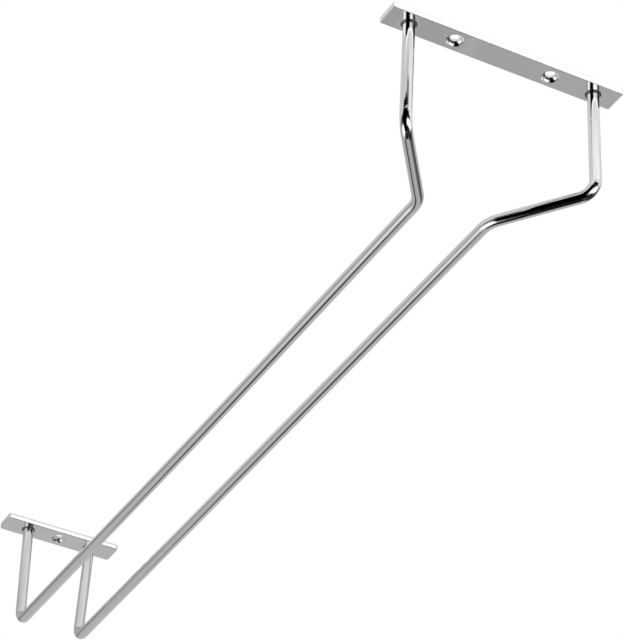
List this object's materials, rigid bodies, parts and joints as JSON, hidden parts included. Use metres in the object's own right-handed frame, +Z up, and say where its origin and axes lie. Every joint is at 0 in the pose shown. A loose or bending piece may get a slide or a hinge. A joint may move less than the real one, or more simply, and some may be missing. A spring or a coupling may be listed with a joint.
{
  "type": "hanging wine glass rack",
  "caption": "Chromed wire rack that screws under a shelf and hangs stemmed glasses by the foot in a channel with a flared mouth.",
  "frame": {"origin": "middle of the front plate's top face, which meets the underside of the shelf", "axes": "+X to the right for someone facing the open front, +Y back along the rails, +Z up into the shelf"},
  "size_m": [0.1098, 0.4595, 0.0588],
  "materials": {
    "plate_chrome": "polished chrome plating on flat bar",
    "wire_chrome": "polished chrome plating on round wire",
    "weld_chrome": "chrome plating over a small weld bead"
  },
  "bodies": {
    "root": {"front_plate": "plate_chrome", "rear_plate": "plate_chrome", "left_rod": "wire_chrome", "right_rod": "wire_chrome", "weld_front_left": "weld_chrome", "weld_front_right": "weld_chrome", "weld_rear_left": "weld_chrome", "weld_rear_right": "weld_chrome"}
  },
  "joints": []
}
